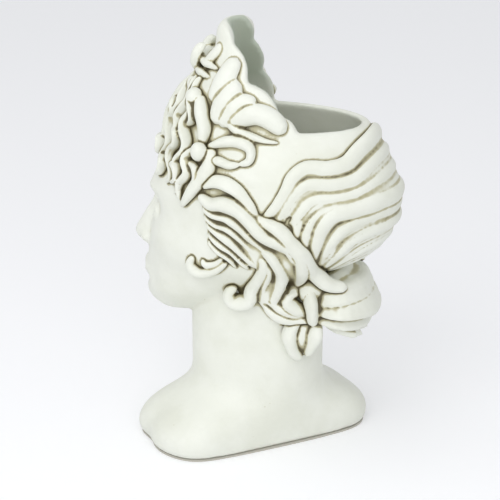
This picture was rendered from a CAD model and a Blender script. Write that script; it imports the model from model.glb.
# Head planter: a painted cast bust with carved hair, open at the crown as a planting bowl.
# Metres, +Z up. Places on the head are in millimetres in the head's own axes until they are built.
import bpy
import bmesh
import numpy
from math import cos, sin, pi, radians, exp, atan2, degrees
from mathutils import Matrix, Vector, noise
from mathutils.bvhtree import BVHTree


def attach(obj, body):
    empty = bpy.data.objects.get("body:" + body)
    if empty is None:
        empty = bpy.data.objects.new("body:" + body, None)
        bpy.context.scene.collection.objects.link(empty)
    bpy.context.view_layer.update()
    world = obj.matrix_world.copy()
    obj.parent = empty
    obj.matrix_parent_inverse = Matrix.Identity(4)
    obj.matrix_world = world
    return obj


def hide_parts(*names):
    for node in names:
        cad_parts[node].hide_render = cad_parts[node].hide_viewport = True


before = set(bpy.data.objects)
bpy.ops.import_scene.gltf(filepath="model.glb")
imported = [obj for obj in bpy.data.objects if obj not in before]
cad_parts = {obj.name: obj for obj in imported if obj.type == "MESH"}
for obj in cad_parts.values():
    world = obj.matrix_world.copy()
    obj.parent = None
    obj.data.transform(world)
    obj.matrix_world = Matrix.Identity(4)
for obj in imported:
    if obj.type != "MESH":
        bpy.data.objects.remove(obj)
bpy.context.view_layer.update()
mm = 0.001
castSoftening = 0.5  # how far one round of softening moves a point
print("frame read:", len(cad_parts), "CAD pieces")

# the head is turned to its own left: x is its left, y its back, z up from the floor
head = {
    "turn": 48,
    # half sizes and middle of the egg that says which way is out
    "halfWidth": 65,
    "halfLength": 96,
    "halfHeight": 115,
    "middle": 215,
    "squareness": 2.1,
    # height, centre, front, back and side of its level outlines
    "levels": [
        (100, -59.5, 14.4, 23.0, 17.5),
        (106, -53.8, 26.9, 36.5, 27.0),
        (118, -40.3, 44.2, 49.9, 39.0),
        (133, -24.0, 59.5, 63.4, 49.4),
        (149, -6.7, 75.8, 84.5, 57.2),
        (166, 3.8, 84.5, 97.9, 61.8),
        (186, 9.6, 89.3, 101.8, 64.4),
        (206, 11.5, 90.2, 99.8, 65.0),
        (225, 11.5, 82.6, 94.1, 61.8),
        (245, 9.6, 73.9, 85.4, 54.0),
        (257, 7.7, 68.2, 80.6, 48.1),
        (275, 2.9, 53.8, 71.0, 42.9),
        (295, -3.8, 31.7, 59.5, 35.8),
        (314, -6.7, 21.1, 40.3, 26.0),
        (330, -8.6, 14.4, 25.0, 16.9),
    ],
}
headToFrame = Matrix.Rotation(radians(head["turn"]), 4, "Z") @ Matrix.Diagonal((mm, mm, mm, 1))


def blend(low, high, share):
    return low + (high - low) * share


def clamped(value, low, high):
    return min(max(value, low), high)


def headLevel(height):
    # centre, front, back and side of the outline at a height
    levels = head["levels"]
    height = clamped(height, levels[0][0], levels[-1][0])
    for lower, upper in zip(levels, levels[1:]):
        if height <= upper[0]:
            share = (height - lower[0]) / (upper[0] - lower[0])
            return [blend(a, b, share) for a, b in zip(lower[1:], upper[1:])]


def ovalReach(angle, side, front, back, squareness):
    # how far an oval reaches from its centre at an angle
    across, along = cos(angle), sin(angle)
    depth = back if along > 0 else front
    return (abs(across / side) ** squareness + abs(along / depth) ** squareness) ** (-1 / squareness)


def skin(bearing, height, lift=0):
    # bearing goes round from the face (0) to the head's left (90) and its back (180)
    centre, front, back, side = headLevel(height)
    angle = radians(bearing - 90)
    far = ovalReach(angle, side, front, back, head["squareness"]) + lift
    return Vector((far * cos(angle), centre + far * sin(angle), height))


def outOf(place):
    # the way out of the head, as on an egg of its size
    across = place.x / head["halfWidth"] ** 2
    along = place.y / head["halfLength"] ** 2
    rise = (place.z - head["middle"]) / head["halfHeight"] ** 2
    return Vector((across, along, rise)).normalized()


def onHead(point, side=1):
    # a routed point is either a bearing and a height on the skin, or x, y, z off it
    if len(point) == 2:
        return skin(side * point[0], point[1])
    return Vector((side * point[0], point[1], point[2]))


def smoothRoute(points, steps):
    # a curve through every point (Catmull-Rom)
    ends = [points[0] * 2 - points[1]] + points + [points[-1] * 2 - points[-2]]
    route = []
    for before, start, end, after in zip(ends, ends[1:], ends[2:], ends[3:]):
        for step in range(steps):
            t = step / steps
            bend = (2 * before - 5 * start + 4 * end - after) * t ** 2
            turn = (3 * start - before - 3 * end + after) * t ** 3
            route.append(0.5 * (2 * start + (end - before) * t + bend + turn))
    return route + [points[-1]]


def newMesh(bm, name):
    mesh = bpy.data.meshes.new(name)
    bm.to_mesh(mesh)
    bm.free()
    return mesh


def newPiece(mesh, name):
    piece = bpy.data.objects.new(name, mesh)
    bpy.context.collection.objects.link(piece)
    return piece


def addForm(bm, form):
    mesh = newMesh(form, "form")
    bm.from_mesh(mesh)
    bpy.data.meshes.remove(mesh)


def extrudeRing(bm, edges):
    # the next ring of a swept or stacked form, which starts where the last one is
    grown = bmesh.ops.extrude_edge_only(bm, edges=edges)["geom"]
    ring = [part for part in grown if isinstance(part, bmesh.types.BMVert)]
    edges = [part for part in grown if isinstance(part, bmesh.types.BMEdge)
             and part.verts[0] in ring and part.verts[1] in ring]
    return ring, edges


def closeEnds(bm):
    bmesh.ops.holes_fill(bm, edges=bm.edges[:], sides=0)
    bmesh.ops.recalc_face_normals(bm, faces=bm.faces[:])


def smoothAll(bm, factor, rounds):
    for _ in range(rounds):
        bmesh.ops.smooth_vert(bm, verts=bm.verts[:], factor=factor,
                              use_axis_x=True, use_axis_y=True, use_axis_z=True)


lockShape = {
    "ringPoints": 20,
    "steps": 5,  # from one point of a route to the next
    "root": 4.0,  # how deep a lock is set into the skin at most, so that none comes through the wall
    "rootShare": 0.9,  # and at most this share of its height
    "endRound": 3.2,
    "endShare": 0.12,  # size of the very ends
    "fullAt": 0.4,  # where along a lock it is fullest
    "strandDepth": 0.22,
    "uneven": ((14, 0.8),),  # size and depth of the dents of the carving
    "softening": 2,
}


def lockSwell(t, start, tip):
    # the size of a lock along its length: it swells from its start and thins to its tip
    full, endRound = lockShape["fullAt"], lockShape["endRound"]
    rounded = (1 - abs(2 * t - 1) ** endRound) ** (1 / endRound)
    along = blend(start, 1, t / full) if t < full else blend(1, tip, (t - full) / (1 - full))
    return max(rounded, lockShape["endShare"]) * along


def addLock(hair, points, width, height, tip=0.5, start=0.8, strands=0, root=0.0):
    # one lock swept along its route: a rounded ring is extruded from station to station
    bm = bmesh.new()
    bmesh.ops.create_circle(bm, cap_ends=False, radius=1, segments=lockShape["ringPoints"])
    below = root / height if root else min(lockShape["rootShare"], lockShape["root"] / height)
    for vert in bm.verts:
        groove = 1
        if strands:
            around = atan2(vert.co.y, vert.co.x)
            groove = 1 - lockShape["strandDepth"] * (0.5 - 0.5 * cos(strands * around))
        rise = 1 if vert.co.y > 0 else below
        vert.co = Vector((vert.co.x * groove, vert.co.y * groove * rise, 0))
    ring, edges = bm.verts[:], bm.edges[:]
    route = smoothRoute(points, lockShape["steps"])
    last = len(route) - 1
    placed = Matrix.Identity(4)
    for index, place in enumerate(route):
        ahead = (route[min(index + 1, last)] - route[max(index - 1, 0)]).normalized()
        across = outOf(place).cross(ahead).normalized()
        up = ahead.cross(across)
        swell = lockSwell(index / last, start, tip)
        station = Matrix((across * width / 2 * swell, up * height * swell, ahead)).transposed().to_4x4()
        station.translation = place
        if index:
            ring, edges = extrudeRing(bm, edges)
        bmesh.ops.transform(bm, matrix=station @ placed.inverted(), verts=ring)
        placed = station
    closeEnds(bm)
    addForm(hair, bm)


def addLocks(hair, rows, sides=(1, -1)):
    for side in sides:
        for points, width, height, style in rows:
            style = dict(style)
            if len(points[-1]) == 3:  # a lock that leaves the skin is round below too
                style.setdefault("root", lockShape["rootShare"] * height)
            addLock(hair, [onHead(point, side) for point in points], width, height, **style)


def addBead(hair, place, radius, squash=(1, 1, 1)):
    shape = Matrix.Translation(place) @ Matrix.Diagonal((*squash, 1))
    bmesh.ops.create_uvsphere(hair, u_segments=20, v_segments=12, radius=radius, matrix=shape)


def castTogether(bm, name, voxel, softening, uneven=()):
    # locks and shells are cast as one skin, then softened as paint softens it
    bmesh.ops.transform(bm, matrix=headToFrame, verts=bm.verts[:])
    raw = newPiece(newMesh(bm, name + "Raw"), name + "Raw")
    remesh = raw.modifiers.new("cast", "REMESH")
    remesh.mode = "VOXEL"
    remesh.voxel_size = voxel * mm
    cast = bpy.data.meshes.new_from_object(raw.evaluated_get(bpy.context.evaluated_depsgraph_get()))
    bpy.data.objects.remove(raw)
    cast.name = name
    bm = bmesh.new()
    bm.from_mesh(cast)
    smoothAll(bm, castSoftening, softening)
    bm.normal_update()
    for size, depth in uneven:
        for vert in bm.verts:
            vert.co += vert.normal * noise.noise(vert.co / (size * mm)) * depth * mm
    bm.to_mesh(cast)
    bm.free()
    cast.shade_smooth()
    print("cast", name, len(cast.polygons), "faces")
    return cast


wash = {
    # rounds of softening and the depth in millimetres that counts as a full groove
    "hairGrooves": ((3, 0.22), (10, 0.55), (30, 1.3)),
    "shellGrooves": ((8, 1.6), (20, 3.0)),
    "neckGrooves": ((6, 3.0),),
    "seamReach": 1.8,
    "seamGain": 0.6,
    "seamFade": 1.5,
    "seams": {"crestHair": 0.35, "waveHair": 0.7},  # pieces whose seams take less of it
    "rays": 10,
    "domeSpread": 0.85,
    "rayLift": 0.3,
    "reach": 9.0,
    "clearCover": 0.11,  # the cover that still counts as none
    "coverGain": 2.3,
    "coverSoftening": 2,
}


def sunkBelow(mesh, grooves):
    # how far each point lies under softened copies of its surface
    bm = bmesh.new()
    bm.from_mesh(mesh)
    normals = [vert.normal.copy() for vert in mesh.vertices]
    starts = [vert.co.copy() for vert in mesh.vertices]
    sunk = [0.0] * len(starts)
    done = 0
    for rounds, depth in grooves:
        smoothAll(bm, 1.0, rounds - done)
        done = rounds
        for index, vert in enumerate(bm.verts):
            fall = (vert.co - starts[index]).dot(normals[index])
            sunk[index] = max(sunk[index], fall / (depth * mm))
    bm.free()
    return sunk


def domeOf(count):
    # directions over a dome around +Z, each a golden angle on from the last
    rows = []
    for index in range(count):
        level = 1 - wash["domeSpread"] * (index + 0.5) / count
        flat = (1 - level ** 2) ** 0.5
        turn = index * pi * (3 - 5 ** 0.5)
        rows.append(Vector((flat * cos(turn), flat * sin(turn), level)))
    return rows


def softened(mesh, values, rounds):
    # an average over each point's neighbours, so that single rays do not show
    ends = numpy.empty(len(mesh.edges) * 2, dtype=numpy.int64)
    mesh.edges.foreach_get("vertices", ends)
    first, second = ends[::2], ends[1::2]
    count = numpy.bincount(ends, minlength=len(values)) + 1
    for _ in range(rounds):
        gathered = values + numpy.bincount(first, weights=values[second], minlength=len(values))
        values = (gathered + numpy.bincount(second, weights=values[first], minlength=len(values))) / count
    return values


def seamAt(place, near, reach):
    # how close the next piece's surface is, and whether there is none within reach
    seam, alone = 0, True
    for tree, share in near:
        distance = tree.find_nearest(place, reach)[3]
        if distance is not None:
            alone = False
            seam = max(seam, share * max(1 - distance / (wash["seamReach"] * mm), 0) ** wash["seamFade"])
    return seam, alone


def coverAt(vert, trees, dome, reach):
    # how much of the dome over a point is covered, and how closely
    turn = vert.normal.to_track_quat("Z", "Y").to_matrix()
    start = vert.co + vert.normal * wash["rayLift"] * mm
    rays = [turn @ way for way in dome]
    cover = 0
    for tree in trees:
        clear = []
        for ray in rays:
            distance = tree.ray_cast(start, ray, reach)[3]
            if distance is None:
                clear.append(ray)
            else:
                cover += (1 - distance / reach) / len(dome)
        rays = clear
    return cover


def washPieces(pieces):
    # the wash settles in the grooves, in the gaps and along the seams where one form meets another
    trees = {}
    for name, piece in pieces.items():
        points = [vert.co for vert in piece["mesh"].vertices]
        trees[name] = BVHTree.FromPolygons(points, [face.vertices for face in piece["mesh"].polygons])
    dome, reach, seams = domeOf(wash["rays"]), wash["reach"] * mm, wash["seams"]
    for name, piece in pieces.items():
        mesh = piece["mesh"]
        sunk = sunkBelow(mesh, piece["grooves"])
        near = [(tree, min(seams.get(name, 1), seams.get(other, 1))) for other, tree in trees.items()
                if other != name and "neckFoot" not in (name, other)]
        around = [tree for tree, share in near] + [trees[name]]
        covers = numpy.zeros(len(mesh.vertices))
        values = numpy.zeros(len(mesh.vertices))
        for index, vert in enumerate(mesh.vertices):
            seam, alone = seamAt(vert.co, near, reach)
            values[index] = max(sunk[index] * piece["gain"], 0) + wash["seamGain"] * seam
            if name != "neckFoot" and ("Hair" in name or not alone):
                covers[index] = coverAt(vert, around, dome, reach)
        covers = softened(mesh, covers, wash["coverSoftening"])
        values += numpy.clip(covers - wash["clearCover"], 0, 1) * wash["coverGain"]
        attribute = mesh.attributes.new("wash", "FLOAT", "POINT")
        attribute.data.foreach_set("value", numpy.clip(values, 0, 1).astype(numpy.float32))
        print("washed", name, len(mesh.vertices), "points, cover", round(float(covers.mean()), 3))


casting = {
    "wall": 7,
    "bottom": 100,
    "rim": 257,
    "top": 330,
    "levelStep": 4,
    "bowlFloor": 150,
    # how far the bowl draws in at its floor and over what height, as shares of its depth
    "bowlCorner": (0.17, 0.06),
    "drain": {"width": 18, "length": 30, "below": 4},
    "neckCore": {"halfWidth": 37, "halfDepth": 45, "setBack": 3, "middle": 115, "length": 54},
    # the collar's heights, its levels as shares of them, its overlap and how far it stands out
    "collar": (94, 108),
    "collarShares": (0, 0.35, 0.7, 1),
    "collarOver": 6,
    "collarStand": (-0.8, 0.5),
    # where the crest's inside is thinly painted: heights, and depth under the skin
    "insideFade": (261, 282),
    "insideDepth": 2,
    # between these heights, what the face leaves in the bowl is laid on its wall
    "clearedBowl": (164, 250),
    "headVoxel": 1.65,
    "headSoftening": 3,
    "faceSoftening": 2,
    "footVoxel": 2.2,
    "footSoftening": 4,
}

faceShape = {
    "eye": {"across": 21, "height": 182, "depth": -67.5, "radius": 11.0},
    # lids: height on the eyeball, how far off its middle, width, height and half sweep
    "lids": [(0.50, 1.04, 4.2, 3.0, 66), (-0.46, 1.02, 3.6, 2.3, 60)],
    "lidPoints": 7,
    "lidArch": (1.35, 0.8),
    "lidStyle": {"tip": 0.7, "start": 0.7},
    # brows and lips: across, height and lift, then width and height
    "brow": ([(9, 195, -1.0), (18, 200, -0.6), (29, 201, -0.8), (40, 196, -1.6)], 10, 2.2),
    "browStyle": {"tip": 0.5, "start": 0.6},
    "lips": [
        ([(0, 134.6, 0.9), (3.5, 135.4, 1.0), (10, 134, 0.5), (16, 132.2, 0), (22, 131, -0.8)], 6.2, 2.5),
        ([(0, 126.4, 0.8), (8, 127.2, 0.6), (14, 129, 0), (20, 130.6, -1.0)], 7.4, 2.7),
    ],
    "lipStyle": {"tip": 0.5, "start": 0.5},
    "noseSquareness": 1.75,
    # height, centre, front, back and side
    "nose": [
        (202, -74, 4.6, 5, 10),
        (194, -74, 6.6, 5, 8.4),
        (186, -74, 9.6, 5, 8.2),
        (177, -74, 13.6, 5, 9.2),
        (168, -74, 18.0, 5, 10.8),
        (162, -74, 21.6, 5, 12.2),
        (158, -74, 23.4, 5, 12.6),
        (154.5, -74, 23.0, 5, 12.0),
        (151, -74, 19.4, 5, 10.4),
        (148.5, -74, 14.0, 5, 8.0),
        (146, -74, 9.5, 5, 5.0),
    ],
    "nostril": {"place": (8.6, -82.5, 154.5), "radius": 5.2, "squash": (1, 1.45, 0.95)},
    # pushes on the skin: across, height, width and height of the brush, and how far out
    "pushes": [
        (21, 185, 15, 10, -7.0),  # sockets
        (10, 187, 6, 8, -2.0),
        (22, 202, 18, 7, 1.2),  # brow
        (0, 203, 10, 12, -0.6),
        (44, 164, 15, 13, 2.5),  # cheekbones
        (42, 138, 14, 12, -2.2),
        (0, 136, 22, 14, 2.2),  # mouth mound
        (0, 121, 15, 4.5, -2.6),
        (0, 110, 15, 9, 4.2),  # chin
        (27, 131, 6, 9, -1.6),
        (52, 190, 12, 22, -2.0),  # temples
    ],
    "pushTop": 240,
    # the pushes begin this far out from the bowl's wall, and are full after this much more
    "pushFade": (1, 4),
}


def ovalStack(rows, segments=72, squareness=2):
    # a closed form through level ovals: height, centre, front, back and side
    bm = bmesh.new()
    bmesh.ops.create_circle(bm, cap_ends=False, radius=1, segments=segments)
    ring, edges = bm.verts[:], bm.edges[:]
    centre = 0
    for index, (height, nextCentre, front, back, side) in enumerate(rows):
        if index:
            ring, edges = extrudeRing(bm, edges)
        angles = [atan2(vert.co.y - centre, vert.co.x) for vert in ring]
        centre = nextCentre
        for vert, angle in zip(ring, angles):
            far = ovalReach(angle, side, front, back, squareness)
            vert.co = Vector((far * cos(angle), centre + far * sin(angle), height))
    closeEnds(bm)
    return bm


def levelShell(low, high, inset):
    # the head's form between two heights, drawn in by what inset gives for each height
    count = max(int((high - low) / casting["levelStep"]), 1)
    rows = []
    for index in range(count + 1):
        height = blend(low, high, index / count)
        centre, front, back, side = headLevel(height)
        draw = inset(height)
        rows.append((height, centre, front - draw, back - draw, side - draw))
    return ovalStack(rows, squareness=head["squareness"])


def onFace(across, height, lift=0):
    # a place on the skin of the face
    centre, front, back, side = headLevel(height)
    flat = (1 - abs(across / side) ** head["squareness"]) ** (1 / head["squareness"])
    return Vector((across, centre - front * flat - lift, height))


def addNose(face):
    addForm(face, ovalStack(faceShape["nose"], 48, faceShape["noseSquareness"]))
    nostril = faceShape["nostril"]
    across, along, height = nostril["place"]
    for side in (-1, 1):
        addBead(face, Vector((side * across, along, height)), nostril["radius"], nostril["squash"])


def lidRoute(centre, lift, off, sweep):
    # over the eyeball from corner to corner
    arch, rise = faceShape["lidArch"]
    last = faceShape["lidPoints"] - 1
    route = []
    for step in range(last + 1):
        turn = radians(blend(-sweep, sweep, step / last))
        level = lift * cos(turn * arch)
        flat = (1 - level ** 2) ** 0.5
        away = Vector((sin(turn) * flat, -cos(turn) * flat, level * rise))
        route.append(centre + away * faceShape["eye"]["radius"] * off)
    return route


def addEyes(face):
    eye = faceShape["eye"]
    for side in (-1, 1):
        centre = Vector((side * eye["across"], eye["depth"], eye["height"]))
        addBead(face, centre, eye["radius"])
        for lift, off, width, height, sweep in faceShape["lids"]:
            addLock(face, lidRoute(centre, lift, off, sweep), width, height, **faceShape["lidStyle"])
        points, width, height = faceShape["brow"]
        brow = [onFace(side * across, up, lift) for across, up, lift in points]
        addLock(face, brow, width, height, **faceShape["browStyle"])


def addLips(face):
    for points, width, height in faceShape["lips"]:
        half = [onFace(*point) for point in points]
        route = [Vector((-place.x, place.y, place.z)) for place in half[:0:-1]] + half
        addLock(face, route, width, height, **faceShape["lipStyle"])


def shapeFace(bm):
    # brushes on the cast skin of the face, in the head's own millimetres
    toHead = headToFrame.inverted()
    wall, squareness = casting["wall"], head["squareness"]
    margin, fade = faceShape["pushFade"]
    low, high = casting["clearedBowl"]
    for vert in bm.verts:
        place = toHead @ vert.co
        if place.y > 0 or place.z > faceShape["pushTop"]:
            continue
        centre, front, back, side = headLevel(place.z)
        angle = atan2(place.y - centre, place.x)
        far = ovalReach(angle, side, front, back, squareness)
        reach = (place.x ** 2 + (place.y - centre) ** 2) ** 0.5
        depth = clamped((reach - far + wall - margin) / fade, 0, 1)
        if not depth:  # the bowl's own side
            inner = ovalReach(angle, side - wall, front - wall, back - wall, squareness)
            if low < place.z < high and reach < inner:
                out = inner / reach
                vert.co = headToFrame @ Vector((place.x * out, centre + (place.y - centre) * out, place.z))
            continue
        push = 0
        for across, height, wide, tall, out in faceShape["pushes"]:
            for mirrored in ((across, -across) if across else (0,)):
                push += out * exp(-((place.x - mirrored) / wide) ** 2 - ((place.z - height) / tall) ** 2)
        away = Vector((place.x / side ** 2, (place.y - centre) / front ** 2, 0)).normalized()
        vert.co = headToFrame @ (place + away * push * depth)


def markInside(mesh):
    # the inside of the crest is thinly painted, so that the grey of the cast shows there
    toHead = headToFrame.inverted()
    low, high = casting["insideFade"]
    under = casting["insideDepth"]
    attribute = mesh.attributes.new("inside", "FLOAT", "POINT")
    for index, vert in enumerate(mesh.vertices):
        place = toHead @ vert.co
        centre, front, back, side = headLevel(place.z)
        far = ovalReach(atan2(place.y - centre, place.x), side, front, back, head["squareness"])
        reach = (place.x ** 2 + (place.y - centre) ** 2) ** 0.5
        deep = clamped((far - reach - under) / under, 0, 1)
        attribute.data[index].value = deep * clamped((place.z - low) / (high - low), 0, 1)


def cutAway(keep, tools):
    # takes the hollow forms out of the head
    piece = newPiece(newMesh(keep, "keep"), "keep")
    for index, tool in enumerate(tools):
        other = newPiece(newMesh(tool, "tool"), "tool%d" % index)
        cut = piece.modifiers.new("cut", "BOOLEAN")
        cut.operation, cut.solver, cut.object = "DIFFERENCE", "EXACT", other
    mesh = bpy.data.meshes.new_from_object(piece.evaluated_get(bpy.context.evaluated_depsgraph_get()))
    for leftover in [piece] + [modifier.object for modifier in piece.modifiers]:
        bpy.data.objects.remove(leftover)
    bm = bmesh.new()
    bm.from_mesh(mesh)
    bpy.data.meshes.remove(mesh)
    return bm


def roundTool(segments, halfWidth, halfDepth, length, middle):
    # a round or oval bar that stands upright
    bm = bmesh.new()
    shape = Matrix.Translation(middle) @ Matrix.Diagonal((halfWidth, halfDepth, length, 1))
    bmesh.ops.create_cone(bm, cap_ends=True, segments=segments, radius1=1, radius2=1, depth=1, matrix=shape)
    return bm


def nodeForm(name, thicken=0.25):
    # a merged copy of a CAD piece in the head's own millimetres, thickened a little so that pieces join
    bm = bmesh.new()
    bm.from_mesh(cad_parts[name].data)
    bmesh.ops.remove_doubles(bm, verts=bm.verts[:], dist=0.01 * mm)
    bmesh.ops.transform(bm, matrix=headToFrame.inverted(), verts=bm.verts[:])
    bm.normal_update()
    for vert in bm.verts:
        vert.co += vert.normal * thicken
    return bm


def neckCollar():
    # the top of the neck is cast with the head too, so that the jaw runs into it; it dies away downwards
    low, high = casting["collar"]
    bm = nodeForm("neck_and_foot", 0)
    levels = [blend(low, high, share) for share in casting["collarShares"]]
    for level in levels + [high + casting["collarOver"]]:
        everything = bm.verts[:] + bm.edges[:] + bm.faces[:]
        bmesh.ops.bisect_plane(bm, geom=everything, plane_co=(0, 0, level), plane_no=(0, 0, 1),
                               clear_inner=level == low)
    bm.normal_update()
    for vert in bm.verts:
        share = clamped((vert.co.z - low) / (high - low), 0, 1)
        vert.co += Vector((vert.normal.x, vert.normal.y, 0)) * blend(*casting["collarStand"], share)
    bmesh.ops.triangle_fill(bm, use_beauty=True, edges=[edge for edge in bm.edges if edge.is_boundary])
    bmesh.ops.recalc_face_normals(bm, faces=bm.faces[:])
    return bm


def buildHead():
    wall, rim, bowlFloor = casting["wall"], casting["rim"], casting["bowlFloor"]
    shell = levelShell(casting["bottom"], rim, lambda height: 0)
    depth = rim - bowlFloor
    drawIn, over = casting["bowlCorner"]
    bowl = levelShell(bowlFloor, casting["top"],
                      lambda height: wall + drawIn * depth * exp(-(height - bowlFloor) / (over * depth)))
    core = casting["neckCore"]
    corePlace = (0, core["setBack"], core["middle"])
    coreTool = roundTool(64, core["halfWidth"], core["halfDepth"], core["length"], corePlace)
    drain = casting["drain"]
    drainPlace = (0, headLevel(bowlFloor)[0], bowlFloor - drain["below"])
    drainTool = roundTool(48, drain["width"] / 2, drain["width"] / 2, drain["length"], drainPlace)
    bm = cutAway(shell, [bowl, coreTool, drainTool])
    addForm(bm, nodeForm("crest_wall"))
    addForm(bm, neckCollar())
    addNose(bm)
    addEyes(bm)
    addLips(bm)
    mesh = castTogether(bm, "headShell", casting["headVoxel"], casting["headSoftening"])
    bm = bmesh.new()
    bm.from_mesh(mesh)
    shapeFace(bm)
    smoothAll(bm, castSoftening, casting["faceSoftening"])
    bm.to_mesh(mesh)
    bm.free()
    markInside(mesh)
    return mesh


def buildFoot():
    bm = nodeForm("neck_and_foot", 0)
    return castTogether(bm, "neckFoot", casting["footVoxel"], casting["footSoftening"])


# each lock: its points, its width, its height and its style
foreheadHair = {
    "voxel": 0.85,
    # wavy locks side by side: bearing, lowest height, width, and where their waves begin
    "waving": [
        (3, 223, 8.2, 0.0),
        (12, 222, 8.2, 1.1),
        (21, 215, 8.2, 0.2),
        (30, 211, 8.4, 1.7),
        (38, 205, 8.4, 0.7),
    ],
    "top": 290,
    "wavePoints": 14,
    "waveHeight": 9.5,
    "waveLength": 27,
    "sway": 3.2,
    "apart": 2.2,  # how far the waves of the two sides are out of step
    "spread": (0.95, 1.1),  # of the bearings, from the top down
    "waveStyle": {"strands": 3, "tip": 0.55},
    "locks": [
        ([(44, 278), (49, 268), (53, 256), (54, 244)], 13, 9.5, {"tip": 0.8}),
        ([(50, 243), (44, 234), (48, 224), (43, 214), (45, 202)], 9, 8.5, {"strands": 3}),
        ([(62, 245), (62, 231), (57, 220), (51, 208), (46, 197)], 13, 6.5, {"tip": 0.35}),
        ([(11, 268), (18, 266), (20, 258), (14, 252)], 7, 11.5, {}),
        ([(26, 252), (33, 248), (33, 240), (27, 236)], 7, 11.5, {}),
        ([(8, 240), (15, 238), (16, 230), (11, 226)], 7, 10.5, {}),
        ([(33, 228), (40, 226), (41, 218), (36, 213)], 7, 9.5, {}),
        ([(20, 230), (26, 226), (25, 218), (20, 214)], 7, 9.5, {}),
        ([(33, 272), (40, 268), (42, 260), (37, 255)], 7, 11, {}),
        ([(47, 232), (53, 228), (54, 219), (50, 212)], 7, 7, {}),
    ],
    # bearing and height, then radius
    "beads": [((41, 277), 6.5), ((55, 241), 6.5)],
    "beadLift": 4,
    "beadSquash": (1, 1, 1.15),
}

crestHair = {
    "voxel": 0.95,
    "left": [
        ([(58, 275), (69, 286), (81, 297), (92, 308)], 17, 6.5, {"tip": 0.8}),
        ([(61, 260), (69, 273), (82, 284), (96, 289)], 18, 8, {"tip": 0.85}),
        ([(67, 259), (79, 271), (93, 278), (106, 277)], 15, 8, {"tip": 0.8}),
        ([(74, 263), (88, 267), (102, 270), (114, 267), (123, 258)], 17, 8.5, {"tip": 0.95}),
        ([(71, 270), (75, 264), (82, 258), (93, 255), (105, 252), (117, 251)], 8, 5, {"tip": 0.4}),
        ([(57, 244), (71, 249), (84, 250), (93, 246), (92, 238), (84, 235)], 9.5, 7, {}),
        ([(57, 234), (68, 236), (77, 234), (85, 235)], 8, 5, {}),
    ],
    "right": [
        ([(58, 275), (66, 286), (72, 297), (78, 306)], 17, 6.5, {"tip": 0.8}),
        ([(61, 260), (69, 272), (77, 281), (83, 285)], 18, 8, {"tip": 0.85}),
        ([(67, 256), (75, 262), (82, 265), (88, 262)], 14, 6, {"tip": 0.9}),
        ([(57, 244), (71, 247), (84, 248), (94, 251)], 9.5, 7, {}),
        ([(57, 234), (68, 236), (77, 234), (85, 235)], 8, 5, {}),
    ],
    "bow": [
        ([(4, -38, 288), (10, -41, 297), (13, -39, 306), (11, -34, 313)], 11, 6, {"tip": 0.8, "root": 3}),
        ([(9, -32, 290), (17, -29, 300), (20, -22, 309), (17, -15, 317)], 11, 5, {"tip": 0.8, "root": 3}),
        ([(6, -40, 286), (18, -42, 282), (29, -38, 275)], 11, 6, {"tip": 0.5, "root": 3}),
    ],
    # from one side over the middle to the other
    "bands": [
        ([(-31, -18, 298), (-17, -33, 300), (0, -38, 301), (17, -33, 300), (31, -18, 298)],
         10, 6, {"root": 3}),
        ([(-32, -20, 290), (-18, -36, 292), (0, -41, 293), (18, -36, 292), (32, -20, 290)],
         9, 5.5, {"root": 3}),
    ],
}

waveHair = {
    "voxel": 1.1,
    # from the left to the middle of the back, where the other half mirrors them: points, width, height
    "locks": [
        ([(102, 197), (109, 206), (116, 218), (121, 228), (130, 234),
          (141, 233), (151, 235), (160, 242), (170, 247), (180, 249)], 15, 5.0),
        ([(111, 194), (116, 207), (122, 217), (130, 223), (141, 222),
          (152, 224), (162, 230), (171, 234), (180, 235)], 12, 3.8),
        ([(120, 190), (125, 203), (131, 211), (141, 212),
          (152, 214), (164, 220), (172, 222), (180, 223)], 10, 3.2),
        ([(129, 186), (133, 196), (139, 205), (148, 207), (160, 210), (171, 213), (180, 214)], 9, 2.8),
        ([(141, 158), (136, 176), (136, 190), (141, 200),
          (150, 203), (160, 205), (171, 206), (180, 206)], 15, 5.4),
        ([(146, 156), (143, 174), (145, 186), (152, 193), (164, 197), (172, 197), (180, 197)], 11, 4.0),
        ([(151, 152), (150, 168), (153, 178), (161, 184), (171, 186), (180, 186)], 10, 3.8),
        ([(156, 149), (157, 162), (162, 169), (170, 173), (180, 174)], 9, 3.6),
        ([(161, 146), (164, 154), (171, 159), (180, 161)], 8, 3.4),
    ],
    "style": {"tip": 0.8},
    # thinner strands between the locks, as shares of the way from one to the next
    "between": (0.36, 0.68),
    "betweenSize": (6, 2.4),
    "betweenStyle": {"tip": 0.6, "start": 0.6},
    "betweenPoints": 17,
    "betweenSteps": 8,
    "front": [
        ([(132, 166), (129, 182), (131, 197), (137, 206)], 8, 3.4, {}),
        ([(124, 178), (123, 188), (126, 199)], 7, 2.6, {}),
    ],
}

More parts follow.
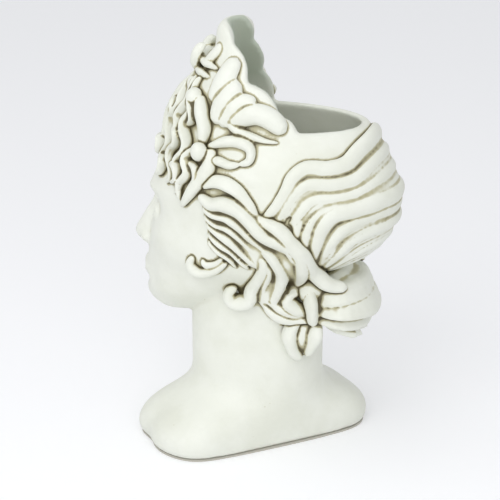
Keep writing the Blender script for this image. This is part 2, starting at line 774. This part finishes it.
sideHair = {
    "voxel": 0.95,
    # the mass under the locks
    "bed": [
        ([(64, 196), (78, 190), (92, 180), (108, 168), (122, 158)], 34, 4.0, {"tip": 0.8}),
        ([(110, 178), (124, 166), (136, 152), (148, 140)], 32, 4.5, {"tip": 0.8}),
        ([(122, 150), (44, 28, 126), (40, 42, 116)], 26, 5.0, {"tip": 0.6}),
    ],
    "locks": [
        ([(59, 216), (68, 221), (78, 220), (87, 214), (94, 205), (100, 195)], 12, 7.5, {"strands": 3}),
        ([(58, 210), (67, 205), (76, 206), (86, 203), (95, 194), (105, 184), (116, 178), (125, 170)],
         13, 9.5, {"tip": 0.9}),
        ([(61, 201), (70, 197), (79, 196), (87, 191), (96, 182), (106, 174), (114, 166)], 8.5, 8, {}),
        ([(62, 195), (71, 190), (80, 188), (89, 181), (99, 172), (110, 163)], 6, 7, {}),
        ([(64, 189), (73, 184), (82, 179), (91, 171), (101, 163), (110, 157)], 8.5, 7.5, {}),
        ([(66, 182), (75, 176), (85, 170), (96, 161), (106, 154)], 7, 6.5, {}),
        ([(67, 176), (76, 169), (86, 163), (97, 154)], 6, 5.5, {}),
        ([(96, 198), (104, 195), (112, 190), (121, 180),
          (131, 168), (146, 152), (38, 68, 141), (32, 82, 137)], 14, 9, {"tip": 0.9, "start": 0.6}),
        ([(104, 182), (116, 180), (127, 172), (135, 159),
          (150, 141), (42, 38, 129), (42, 44, 121), (38, 53, 119)], 13, 10, {"tip": 0.8}),
        ([(100, 188), (110, 184), (119, 176), (128, 164), (140, 152)], 7, 8.5, {}),
        ([(104, 175), (116, 165), (130, 149), (43, 28, 128), (42, 38, 119), (39, 51, 114)],
         12, 9, {"tip": 0.7}),
        ([(117, 167), (128, 153), (42, 34, 134), (40, 44, 130)], 8, 7, {}),
        ([(110, 166), (119, 154), (46, 20, 134), (44, 30, 122), (41, 44, 114)], 7, 7, {}),
        ([(106, 169), (114, 157), (48, 13, 137), (48, 9, 126), (49, -2, 124), (49, -6, 131), (48, 0, 136)],
         12, 9, {"tip": 0.7}),
        ([(42, 18, 128), (42, 26, 118), (40, 38, 112), (38, 48, 112), (34, 60, 110)], 11, 8, {"tip": 0.6}),
        ([(43, 24, 132), (42, 34, 123), (40, 46, 118), (36, 58, 116)], 8, 7.5, {}),
    ],
}

napeHair = {
    "voxel": 0.95,
    # bands of hair wound across the nape
    "bun": [
        ([(35, 54, 127), (30, 76, 131), (0, 85, 130), (-30, 76, 131), (-35, 54, 127)],
         16, 13, {"tip": 0.7, "strands": 4}),
        ([(35, 56, 121), (31, 80, 120), (0, 91, 118), (-31, 80, 120), (-35, 56, 121)],
         17, 14, {"tip": 0.7, "strands": 4}),
        ([(34, 55, 115), (28, 76, 109), (0, 86, 107), (-28, 76, 109), (-34, 55, 115)],
         15, 12, {"tip": 0.7, "strands": 4}),
    ],
    # what fills the hollow under the head: place and half sizes
    "cores": [
        ((0, 66, 126), (38, 17, 17)),
        ((33, 54, 134), (13, 11, 12)),
        ((-33, 54, 134), (13, 11, 12)),
    ],
    "locks": [
        ([(37, 52, 138), (41, 56, 123), (37, 56, 106)], 11, 10, {"tip": 0.8}),
        ([(38, 46, 114), (39, 39, 99), (38, 41, 85), (35, 48, 75)], 12, 8, {"tip": 0.6}),
        ([(36, 60, 108), (36, 57, 94), (34, 51, 78)], 11, 8, {"tip": 0.6}),
        ([(36, 52, 108), (35, 50, 92), (33, 50, 81)], 15, 4, {}),
        ([(24, 62, 106), (23, 76, 100), (20, 88, 93)], 10, 7, {"tip": 0.4}),
        ([(14, 64, 104), (12, 78, 97), (8, 90, 90)], 10, 7, {"tip": 0.4}),
        ([(5, 66, 104), (3, 80, 98), (2, 92, 94)], 10, 7, {"tip": 0.4}),
    ],
}

earShape = {
    "voxel": 0.8,
    "lift": 0.5,
    "style": {"tip": 0.6, "start": 0.7},
    # helix and inner fold: points, width and height
    "folds": [
        ([(61, 161), (61, 154), (66, 149), (74, 147), (82, 151), (87, 160)], 9.5, 6),
        ([(68, 160), (72, 155), (79, 157), (82, 164)], 6, 3.5),
    ],
}


def castHair(bm, name, hair, uneven=lockShape["uneven"]):
    return castTogether(bm, name, hair["voxel"], lockShape["softening"], uneven)


def buildForehead():
    bm = bmesh.new()
    addLocks(bm, foreheadHair["locks"])
    top, last = foreheadHair["top"], foreheadHair["wavePoints"] - 1
    for side in (1, -1):
        for bearing, low, width, begin in foreheadHair["waving"]:
            points = []
            for index in range(last + 1):
                height = blend(top, low, index / last)
                wave = 2 * pi * (top - height) / foreheadHair["waveLength"]
                sway = foreheadHair["sway"] * sin(wave + begin + foreheadHair["apart"] * side)
                points.append((bearing * blend(*foreheadHair["spread"], index / last) + sway, height))
            addLocks(bm, [(points, width, foreheadHair["waveHeight"], foreheadHair["waveStyle"])], (side,))
    for side in (1, -1):
        for (bearing, height), radius in foreheadHair["beads"]:
            place = skin(side * bearing, height, foreheadHair["beadLift"])
            addBead(bm, place, radius, foreheadHair["beadSquash"])
    return castHair(bm, "foreheadHair", foreheadHair)


def buildCrest():
    bm = bmesh.new()
    addLocks(bm, crestHair["left"], (1,))
    addLocks(bm, crestHair["right"], (-1,))
    addLocks(bm, crestHair["bow"])
    addLocks(bm, crestHair["bands"], (1,))
    return castHair(bm, "crestHair", crestHair)


def sampled(points, count):
    # a route as evenly numbered places
    route = smoothRoute([onHead(point) for point in points], waveHair["betweenSteps"])
    return [route[round(index * (len(route) - 1) / (count - 1))] for index in range(count)]


def addBetween(bm, rows):
    # thinner strands between neighbouring locks, laid back on the skin
    width, height = waveHair["betweenSize"]
    for first, second in zip(rows, rows[1:]):
        starts = sampled(first[0], waveHair["betweenPoints"])
        ends = sampled(second[0], waveHair["betweenPoints"])
        for share in waveHair["between"]:
            route = []
            for start, end in zip(starts, ends):
                place = start.lerp(end, share)
                route.append(skin(degrees(atan2(place.x, headLevel(place.z)[0] - place.y)), place.z))
            addLock(bm, route, width, height, **waveHair["betweenStyle"])


def buildWaves():
    bm = bmesh.new()
    addLocks(bm, waveHair["front"])
    rows = []
    for points, width, height in waveHair["locks"]:
        mirrored = [(360 - bearing, up) for bearing, up in points[-2::-1]]
        rows.append((points + mirrored, width, height, waveHair["style"]))
    addLocks(bm, rows, (1,))
    addBetween(bm, rows)
    return castHair(bm, "waveHair", waveHair, uneven=())


def buildSide():
    bm = bmesh.new()
    addLocks(bm, sideHair["locks"])
    addLocks(bm, sideHair["bed"])
    return castHair(bm, "sideHair", sideHair)


def buildNape():
    bm = bmesh.new()
    addLocks(bm, napeHair["locks"])
    addLocks(bm, napeHair["bun"], (1,))
    for place, halfSizes in napeHair["cores"]:
        addBead(bm, Vector(place), 1, halfSizes)
    return castHair(bm, "napeHair", napeHair)


def buildEar(name, side):
    bm = bmesh.new()
    for points, width, height in earShape["folds"]:
        route = [skin(side * bearing, up, earShape["lift"]) for bearing, up in points]
        addLock(bm, route, width, height, **earShape["style"])
    return castHair(bm, name, earShape, uneven=())


# colours, then the scales of the textures in turns over a metre
paint = {
    "cream": (0.84, 0.855, 0.775),
    "creamShade": (0.78, 0.795, 0.70),
    "thin": (0.50, 0.55, 0.45),
    "washPale": (0.50, 0.47, 0.30),
    "washDeep": (0.105, 0.088, 0.040),
    "roughness": 0.52,
    "clouds": {"Scale": 22, "Detail": 4, "Roughness": 0.6},
    "brushing": {"Scale": 95, "Detail": 5, "Roughness": 0.7},
    "speckle": {"Scale": 420, "Detail": 2},
    "pits": {"Scale": 170},
    # where the wiped wash breaks into streaks, and how much it has settled to show pale or deep
    "streaks": (0.5, -0.25),
    "streaksFrom": (0.05, 0.5),
    "paleFrom": (0.08, 0.42),
    "deepFrom": (0.38, 0.95),
    "shadeFrom": (0.35, 0.7),
    "pitEdge": (0.10, 0.03),
    "pitsWhere": (0.56, 0.66),
    # strength and depth of the relief
    "speckleRelief": (0.25, 0.0006),
    "brushRelief": (0.35, 0.0012),
}

rubberFinish = {
    "name": "darkRubber",
    "dark": (0.020, 0.020, 0.019),
    "light": (0.045, 0.044, 0.042),
    "roughness": 0.7,
    "sheen": 0,
    "grain": {"Scale": 900, "Detail": 3},
    "relief": (0.3, 0.0003),
}

feltFinish = {
    "name": "greyFelt",
    "dark": (0.42, 0.40, 0.34),
    "light": (0.58, 0.56, 0.49),
    "roughness": 0.95,
    "sheen": 0.3,
    "grain": {"Scale": 1500, "Detail": 4, "Roughness": 0.8},
    "relief": (0.6, 0.0004),
}


def newMaterial(name):
    material = bpy.data.materials.new(name)
    material.use_nodes = True
    nodes, links = material.node_tree.nodes, material.node_tree.links
    return material, nodes, links, nodes["Principled BSDF"]


def addNode(nodes, kind, **values):
    node = nodes.new("ShaderNode" + kind)
    for key, value in values.items():
        if key in node.inputs:
            node.inputs[key].default_value = value
        else:
            setattr(node, key, value)
    return node


def addTexture(nodes, links, kind, values):
    texture = addNode(nodes, kind, **values)
    links.new(addNode(nodes, "TexCoord").outputs["Object"], texture.inputs["Vector"])
    return texture


def mathOf(nodes, links, operation, *values):
    # each value is a number or another node's output
    step = addNode(nodes, "Math", operation=operation)
    for socket, value in zip(step.inputs, values):
        if isinstance(value, (int, float)):
            socket.default_value = value
        else:
            links.new(value, socket)
    return step.outputs[0]


def mixColors(nodes, links, factor, first, second):
    mix = addNode(nodes, "Mix", data_type="RGBA")
    links.new(factor, mix.inputs[0])
    for socket, color in ((mix.inputs[6], first), (mix.inputs[7], second)):
        if isinstance(color, tuple):
            socket.default_value = (*color, 1)
        else:
            links.new(color, socket)
    return mix.outputs[2]


def rampOf(nodes, links, source, span):
    ramp = addNode(nodes, "MapRange", **{"From Min": span[0], "From Max": span[1]})
    ramp.interpolation_type = "SMOOTHSTEP"
    links.new(source, ramp.inputs["Value"])
    return ramp.outputs["Result"]


def reliefOf(nodes, links, source, relief, under=None):
    bump = addNode(nodes, "Bump", Strength=relief[0], Distance=relief[1])
    links.new(source, bump.inputs["Height"])
    if under:
        links.new(under, bump.inputs["Normal"])
    return bump.outputs["Normal"]


def paintedCast():
    material, nodes, links, shader = newMaterial("creamPaintWithWash")
    cloudy = addTexture(nodes, links, "TexNoise", paint["clouds"]).outputs["Fac"]
    brushed = addTexture(nodes, links, "TexNoise", paint["brushing"]).outputs["Fac"]
    speckle = addTexture(nodes, links, "TexNoise", paint["speckle"]).outputs["Fac"]
    pits = addTexture(nodes, links, "TexVoronoi", paint["pits"]).outputs["Distance"]
    # the wash breaks up into streaks where it was wiped back
    laid = addNode(nodes, "Attribute", attribute_name="wash").outputs["Fac"]
    streaks = mathOf(nodes, links, "MULTIPLY_ADD", brushed, *paint["streaks"])
    streaks = mathOf(nodes, links, "MULTIPLY", streaks, rampOf(nodes, links, laid, paint["streaksFrom"]))
    settled = mathOf(nodes, links, "ADD", laid, streaks)
    shade = rampOf(nodes, links, cloudy, paint["shadeFrom"])
    color = mixColors(nodes, links, shade, paint["cream"], paint["creamShade"])
    inside = addNode(nodes, "Attribute", attribute_name="inside").outputs["Fac"]
    color = mixColors(nodes, links, inside, color, paint["thin"])
    for span, tone in (("paleFrom", "washPale"), ("deepFrom", "washDeep")):
        color = mixColors(nodes, links, rampOf(nodes, links, settled, paint[span]), color, paint[tone])
    # a few pores that hold some of the wash
    pores = rampOf(nodes, links, pits, paint["pitEdge"])
    pores = mathOf(nodes, links, "MULTIPLY", pores, rampOf(nodes, links, cloudy, paint["pitsWhere"]))
    color = mixColors(nodes, links, pores, color, paint["washPale"])
    links.new(color, shader.inputs["Base Color"])
    shader.inputs["Roughness"].default_value = paint["roughness"]
    fine = reliefOf(nodes, links, speckle, paint["speckleRelief"])
    links.new(reliefOf(nodes, links, brushed, paint["brushRelief"], fine), shader.inputs["Normal"])
    return material


def grained(finish):
    # rubber and felt: two tones and a fine relief from one grain
    material, nodes, links, shader = newMaterial(finish["name"])
    grain = addTexture(nodes, links, "TexNoise", finish["grain"]).outputs["Fac"]
    links.new(mixColors(nodes, links, grain, finish["dark"], finish["light"]), shader.inputs["Base Color"])
    shader.inputs["Roughness"].default_value = finish["roughness"]
    shader.inputs["Sheen Weight"].default_value = finish["sheen"]
    links.new(reliefOf(nodes, links, grain, finish["relief"]), shader.inputs["Normal"])
    return material


# each piece: its mesh, how its grooves take the wash, the CAD pieces that it stands for, and its slot
made = {
    "headShell": {
        "mesh": buildHead(),
        "grooves": wash["shellGrooves"],
        "gain": 0.5,
        "standsFor": ["head_bowl", "crest_wall", "face_relief"],
        "slot": "casting",
    },
    "neckFoot": {
        "mesh": buildFoot(),
        "grooves": wash["neckGrooves"],
        "gain": 0.3,
        "standsFor": ["neck_and_foot"],
        "slot": "casting",
    },
    "foreheadHair": {
        "mesh": buildForehead(),
        "grooves": wash["hairGrooves"],
        "gain": 1.5,
        "standsFor": ["forehead_curls_left", "forehead_curls_right"],
        "slot": "hair",
    },
    "crestHair": {
        "mesh": buildCrest(),
        "grooves": wash["hairGrooves"],
        "gain": 1.0,
        "standsFor": ["crest_locks_left", "crest_locks_right", "topknot_bow"],
        "slot": "hair",
    },
    "waveHair": {
        "mesh": buildWaves(),
        "grooves": wash["hairGrooves"],
        "gain": 0.8,
        "standsFor": ["crown_waves_left", "crown_waves_right"],
        "slot": "hair",
    },
    "sideHair": {
        "mesh": buildSide(),
        "grooves": wash["hairGrooves"],
        "gain": 1.0,
        "standsFor": ["side_locks_left", "side_locks_right"],
        "slot": "hair",
    },
    "napeHair": {
        "mesh": buildNape(),
        "grooves": wash["hairGrooves"],
        "gain": 1.0,
        "standsFor": ["nape_knot", "nape_tail_left", "nape_tail_right"],
        "slot": "hair",
    },
    "earLeft": {
        "mesh": buildEar("earLeft", 1),
        "grooves": wash["hairGrooves"],
        "gain": 0.6,
        "standsFor": ["ear_left"],
        "slot": "casting",
    },
    "earRight": {
        "mesh": buildEar("earRight", -1),
        "grooves": wash["hairGrooves"],
        "gain": 0.6,
        "standsFor": ["ear_right"],
        "slot": "casting",
    },
}
washPieces(made)

castPaint = paintedCast()
for name, row in made.items():
    row["mesh"].materials.clear()
    row["mesh"].materials.append(castPaint)
    piece = newPiece(row["mesh"], name)
    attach(piece, "planter")
    for node in row["standsFor"]:
        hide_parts(node)

for node, finish in (("drain_plug", rubberFinish), ("base_felt", feltFinish)):
    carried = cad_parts[node]
    carried.data.materials.clear()
    carried.data.materials.append(grained(finish))
print("painted", len(made), "pieces, and the plug and felt")


studio = {
    "floor": (0.86, 0.865, 0.88),
    "floorRoughness": 0.8,
    "floorSize": 20,
    "floorGlow": 0.17,
    "sky": (0.97, 0.98, 1.0),
    "skyStrength": 0.68,
    "aim": (0, 0, 0.18),
    # place, size and power
    "lamps": {
        "key": ((1.0, 0.7, 1.1), 1.0, 6.8),
        "front": ((0.35, 1.35, 0.65), 0.8, 3.2),
        "top": ((0.45, -0.1, 1.8), 0.9, 2.3),
    },
}

camera = {
    "azimuth": 26.5,  # from +Y towards +X
    "elevation": 20,
    "distance": 1.3,
    "target": (-0.003, 0.148),  # to the right of the origin, and up
    "lens": 120,
}


def layFloor():
    bm = bmesh.new()
    bmesh.ops.create_grid(bm, x_segments=1, y_segments=1, size=studio["floorSize"])
    floor = newPiece(newMesh(bm, "floor"), "floor")
    material, nodes, links, shader = newMaterial("paleFloor")
    shader.inputs["Base Color"].default_value = (*studio["floor"], 1)
    shader.inputs["Roughness"].default_value = studio["floorRoughness"]
    # the floor looks whiter than it lights: only what is seen of it glows
    rays = addNode(nodes, "LightPath").outputs
    seen = rays["Is Camera Ray"]
    for other in ("Is Glossy Ray", "Is Transmission Ray"):
        seen = mathOf(nodes, links, "MAXIMUM", seen, rays[other])
    glow = mathOf(nodes, links, "MULTIPLY", seen, studio["floorGlow"])
    shader.inputs["Emission Color"].default_value = (1, 1, 1, 1)
    links.new(glow, shader.inputs["Emission Strength"])
    floor.data.materials.append(material)


def lightStudio():
    world = bpy.data.worlds.new("studio")
    bpy.context.scene.world = world
    world.use_nodes = True
    sky = world.node_tree.nodes["Background"].inputs
    sky["Color"].default_value = (*studio["sky"], 1)
    sky["Strength"].default_value = studio["skyStrength"]
    for name, (place, size, power) in studio["lamps"].items():
        light = bpy.data.lights.new(name, "AREA")
        light.size, light.energy = size, power
        lamp = bpy.data.objects.new(name, light)
        lamp.location = place
        lamp.rotation_euler = (Vector(studio["aim"]) - lamp.location).to_track_quat("-Z", "Y").to_euler()
        bpy.context.collection.objects.link(lamp)


def placeCamera():
    turn, tilt = radians(camera["azimuth"]), radians(camera["elevation"])
    right = Vector((-cos(turn), sin(turn), 0))
    towards = Vector((sin(turn) * cos(tilt), cos(turn) * cos(tilt), sin(tilt)))
    target = right * camera["target"][0] + Vector((0, 0, camera["target"][1]))
    lens = bpy.data.cameras.new("camera")
    lens.lens = camera["lens"]
    body = bpy.data.objects.new("camera", lens)
    body.location = target + towards * camera["distance"]
    body.rotation_euler = towards.to_track_quat("Z", "Y").to_euler()
    bpy.context.collection.objects.link(body)
    bpy.context.scene.camera = body


layFloor()
lightStudio()
placeCamera()
bpy.context.scene.view_settings.view_transform = "Standard"
print("floor, lamps and camera placed")
